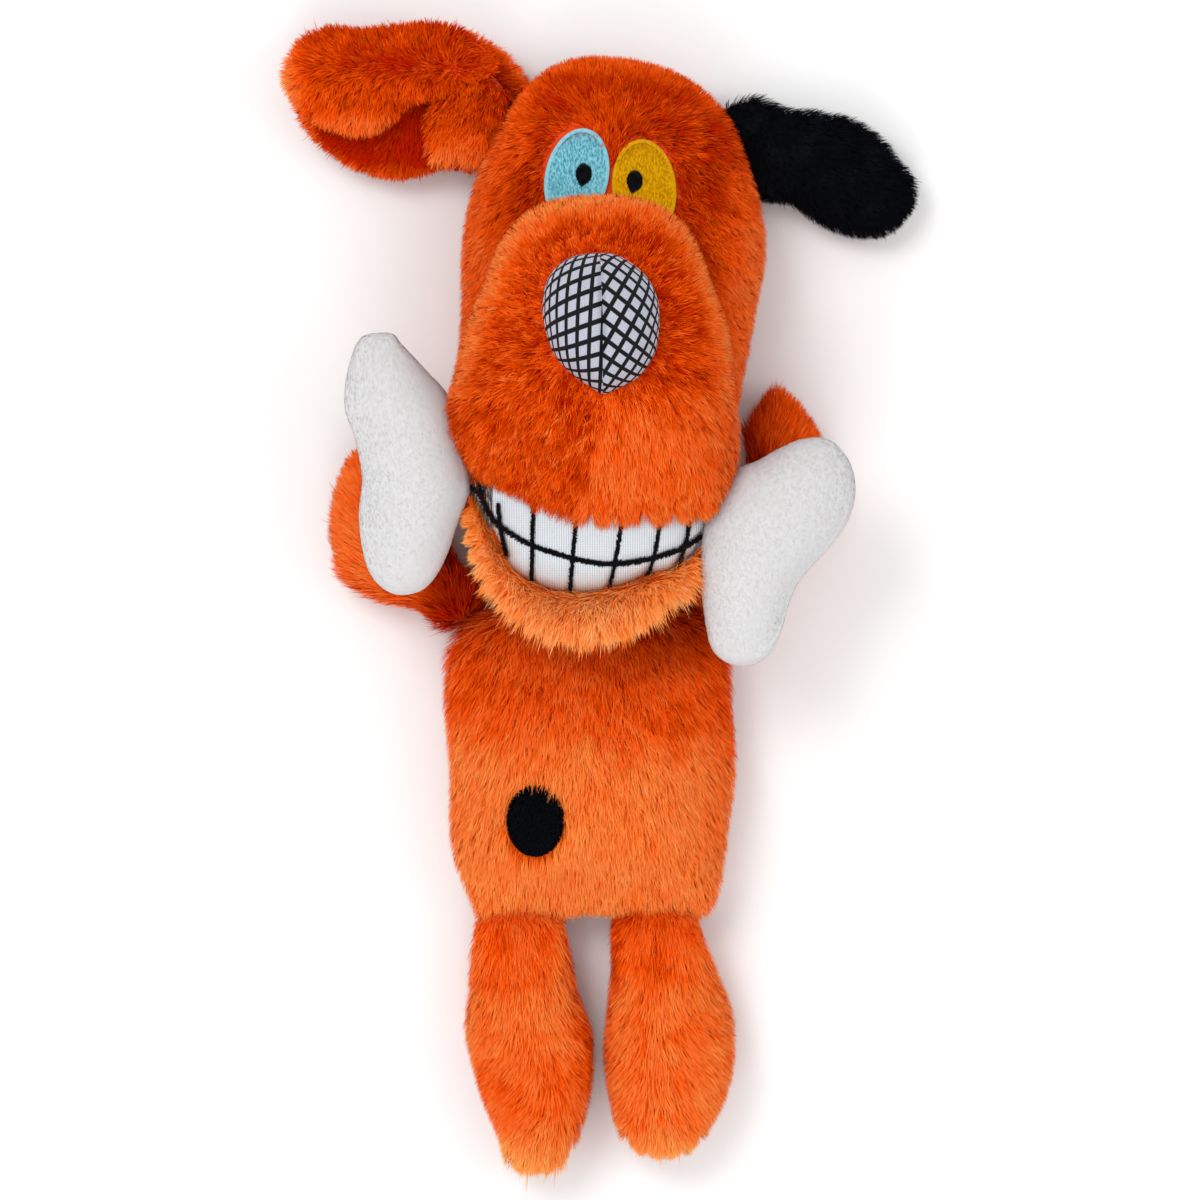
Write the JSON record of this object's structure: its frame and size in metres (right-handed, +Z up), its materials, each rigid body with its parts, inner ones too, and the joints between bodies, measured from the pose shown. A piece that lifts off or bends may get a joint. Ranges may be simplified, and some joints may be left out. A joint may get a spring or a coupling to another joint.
{
  "type": "plush dog toy",
  "caption": "Stuffed long-pile plush dog lying on its back, with a round snout, checked nose, stitched grin, floppy ears, and a stuffed bone held in its mouth.",
  "frame": {"origin": "middle of the footprint, on the surface that the toy lies on", "axes": "+Z up out of the face, +Y towards the top of the head, +X to the right as the face is seen"},
  "size_m": [0.1676, 0.306, 0.083],
  "materials": {
    "orange_fur": "long pile plush, matte with a soft sheen",
    "pale_fur": "long pile plush, paler at the tips",
    "black_fur": "short straight black pile",
    "stuffing": "polyester fibre fill",
    "velboa": "very short white pile",
    "grid_cloth": "white cloth printed with a black grid",
    "knit": "white rib knit",
    "black_thread": "satin stitch",
    "blue_thread": "satin stitch",
    "yellow_thread": "satin stitch",
    "squeaker_plastic": "thin moulded bulb"
  },
  "bodies": {
    "torso": {"torso_front_panel": "orange_fur", "torso_back_panel": "orange_fur", "torso_fill": "stuffing", "squeaker": "squeaker_plastic", "belly_spot": "black_fur"},
    "head": {"head_front_panel": "orange_fur", "head_back_panel": "orange_fur", "head_fill": "stuffing", "eye_left_patch": "blue_thread", "eye_left_pupil": "black_thread", "eye_right_patch": "yellow_thread", "eye_right_pupil": "black_thread", "muzzle_left_panel": "orange_fur", "muzzle_right_panel": "orange_fur", "muzzle_fill": "stuffing", "nose_left_panel": "grid_cloth", "nose_right_panel": "grid_cloth", "nose_fill": "stuffing", "teeth_panel": "knit", "teeth_stitching": "black_thread", "jaw_fill": "stuffing", "lower_lip": "pale_fur", "bone_left_cover": "velboa", "bone_left_fill": "stuffing", "bone_right_cover": "velboa", "bone_right_fill": "stuffing"},
    "leg_left": {"leg_left_skin": "orange_fur", "leg_left_fill": "stuffing"},
    "leg_right": {"leg_right_skin": "orange_fur", "leg_right_fill": "stuffing"},
    "arm_left": {"arm_left_skin": "orange_fur", "arm_left_fill": "stuffing"},
    "arm_right": {"arm_right_skin": "orange_fur", "arm_right_fill": "stuffing"},
    "ear_left": {"ear_left_base_layer": "orange_fur", "ear_left_folded_flap": "orange_fur"},
    "ear_right": {"ear_right_back_layer": "black_fur", "ear_right_front_layer": "black_fur"}
  },
  "joints": [
    {"name": "head_nod", "type": "hinge", "parent": "torso", "child": "head", "pos_m": [0.00014, -0.00157, 0.015], "axis": [1, 0, 0], "range_deg": [0, 15]},
    {"name": "leg_left_lift", "type": "hinge", "parent": "torso", "child": "leg_left", "pos_m": [-0.02114, -0.08598, 0.012], "axis": [-1, 0, 0], "range_deg": [0, 70]},
    {"name": "leg_right_lift", "type": "hinge", "parent": "torso", "child": "leg_right", "pos_m": [0.01511, -0.08598, 0.012], "axis": [-1, 0, 0], "range_deg": [0, 70]},
    {"name": "arm_left_swing", "type": "hinge", "parent": "torso", "child": "arm_left", "pos_m": [-0.03768, -0.00157, 0.011], "axis": [0, 0, 1], "range_deg": [0, 50]},
    {"name": "arm_right_swing", "type": "hinge", "parent": "torso", "child": "arm_right", "pos_m": [0.0306, -0.00157, 0.011], "axis": [0, 0, -1], "range_deg": [0, 50]},
    {"name": "ear_left_lift", "type": "hinge", "parent": "head", "child": "ear_left", "pos_m": [-0.02482, 0.12357, 0.009], "axis": [0.567, 0.8237, 0], "range_deg": [0, 50]},
    {"name": "ear_right_lift", "type": "hinge", "parent": "head", "child": "ear_right", "pos_m": [0.03737, 0.11884, 0.009], "axis": [0.315, -0.9491, 0], "range_deg": [0, 50]}
  ]
}
